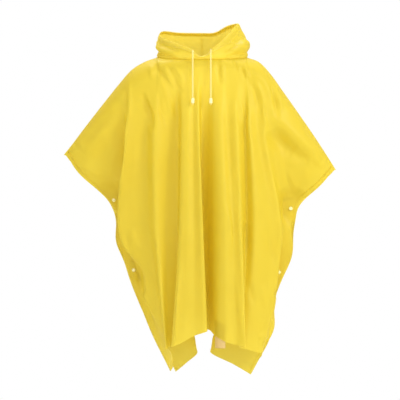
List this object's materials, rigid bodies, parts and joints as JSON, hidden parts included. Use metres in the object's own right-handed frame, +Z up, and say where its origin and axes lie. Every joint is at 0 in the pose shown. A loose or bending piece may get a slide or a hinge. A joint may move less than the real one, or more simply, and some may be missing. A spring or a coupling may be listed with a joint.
{
  "type": "hooded rain poncho",
  "caption": "Child's pull-on rain poncho of thin yellow film with a drawcord hood, filled out as it is worn and held together at the sides by press snaps.",
  "frame": {"origin": "middle of the neck opening at the height of the neck seam, where the wearer's shoulders and neck hold the garment", "axes": "+X the viewer's right, +Y away from the viewer (the back of the garment), +Z up through the neck opening"},
  "size_m": [0.7491, 0.3049, 0.9712],
  "materials": {
    "film": "satin translucent PEVA film",
    "cord": "braided polyester",
    "bead": "moulded, half clear",
    "snap": "moulded, half clear",
    "label": "plain woven tape"
  },
  "bodies": {
    "root": {"front": "film", "back": "film", "hood_left": "film", "hood_right": "film", "casing_left": "film", "casing_right": "film", "drawcord_left": "cord", "drawcord_right": "cord", "cord_end_left": "bead", "cord_end_right": "bead", "snap_left_1_cap": "snap", "snap_left_1_back": "snap", "snap_left_1_socket": "snap", "snap_left_2_cap": "snap", "snap_left_2_back": "snap", "snap_left_2_socket": "snap", "snap_right_1_cap": "snap", "snap_right_1_back": "snap", "snap_right_1_socket": "snap", "snap_right_2_cap": "snap", "snap_right_2_back": "snap", "snap_right_2_socket": "snap", "hem_label": "label"}
  },
  "joints": []
}
